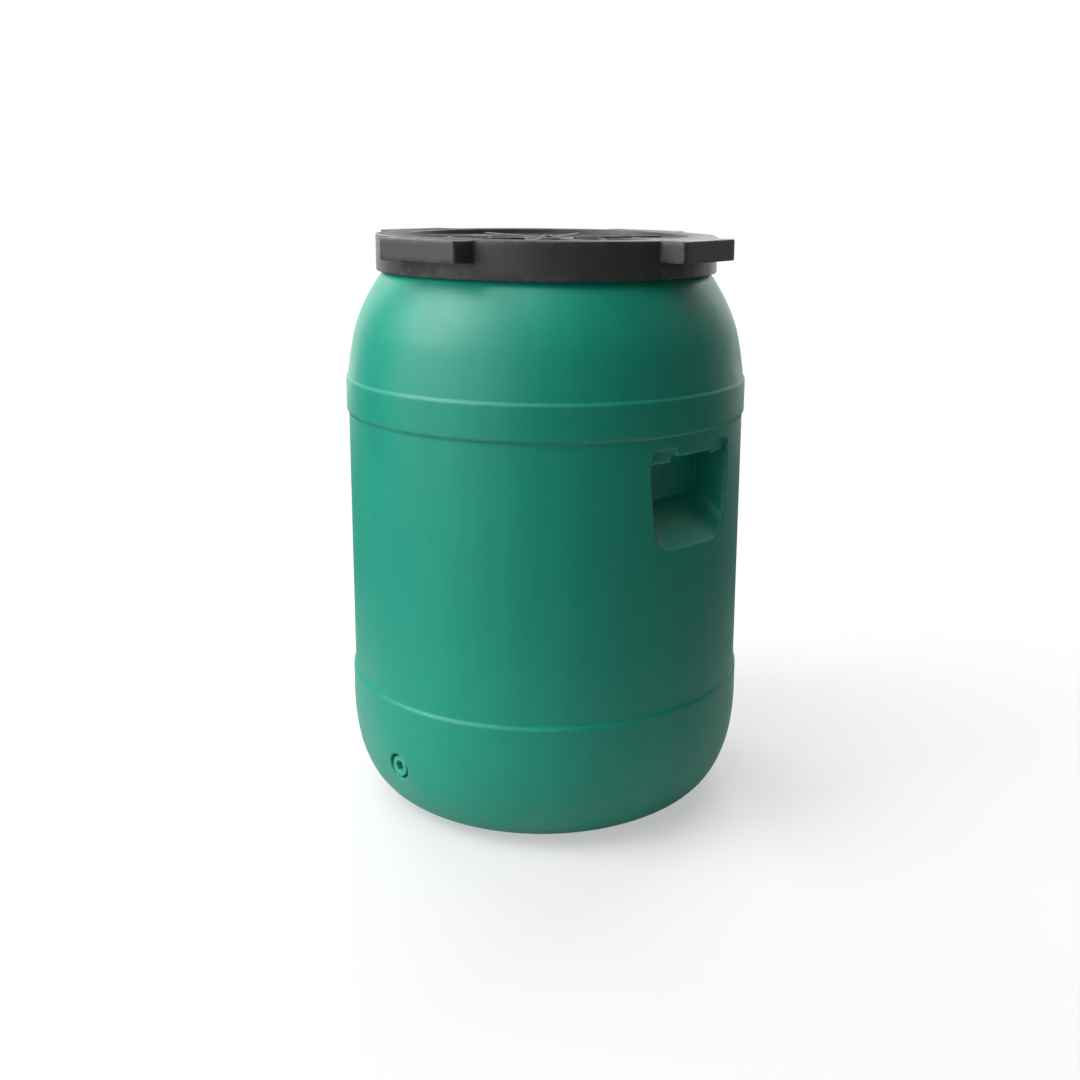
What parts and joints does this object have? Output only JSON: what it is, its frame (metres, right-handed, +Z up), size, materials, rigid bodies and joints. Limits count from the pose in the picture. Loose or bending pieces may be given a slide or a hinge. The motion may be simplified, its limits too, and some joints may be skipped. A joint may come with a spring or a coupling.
{
  "type": "open head plastic drum",
  "caption": "Tall round-shouldered wide-mouth plastic drum with a lugged screw lid, an inner sealing disc, hand recesses moulded into opposite sides and a low drain plug.",
  "frame": {"origin": "on the floor, under the middle of the drum's base", "axes": "+Z up along the drum's axis; the hand recesses face +X and -X; the drain plug faces -Y"},
  "size_m": [0.4, 0.4, 0.565],
  "materials": {
    "drum_green": "satin blow-moulded polyethylene",
    "lid_black": "satin injection-moulded polyethylene",
    "gasket_rubber": "matt black rubber",
    "disc_natural": "satin natural polyethylene",
    "plug_green": "satin injection-moulded polyethylene",
    "seal_rubber": "matt black rubber"
  },
  "bodies": {
    "drum": {"drum_body": "drum_green"},
    "gasket_ring": {"lid_gasket": "gasket_rubber"},
    "lid": {"screw_lid": "lid_black"},
    "disc": {"inner_disc": "disc_natural"},
    "plug_seal": {"drain_plug_seal": "seal_rubber"},
    "plug": {"drain_plug": "plug_green"}
  },
  "joints": [
    {"name": "lid_rise", "type": "slide", "parent": "drum", "child": "gasket_ring", "axis": [0, 0, 1], "range_m": [0, 0.1205]},
    {"name": "lid_turn", "type": "hinge", "parent": "gasket_ring", "child": "lid", "pos_m": [0, 0, 0.55], "axis": [0, 0, 1], "range_deg": [0, 1800]},
    {"name": "disc_lift", "type": "slide", "parent": "drum", "child": "disc", "axis": [0, 0, 1], "range_m": [0, 0.0485]},
    {"name": "plug_out", "type": "slide", "parent": "drum", "child": "plug_seal", "axis": [0, -1, 0], "range_m": [0, 0.018]},
    {"name": "plug_turn", "type": "hinge", "parent": "plug_seal", "child": "plug", "pos_m": [0, -0.19, 0.064], "axis": [0, -1, 0], "range_deg": [0, 2165]}
  ],
  "couplings": [
    {"joint": "lid_rise", "follows": "lid_turn", "m_per_rad": 0.0038197},
    {"joint": "disc_lift", "follows": "lid_turn", "m_per_rad": 0.0015279},
    {"joint": "plug_turn", "follows": "plug_out", "rad_per_m": 2094.4}
  ]
}
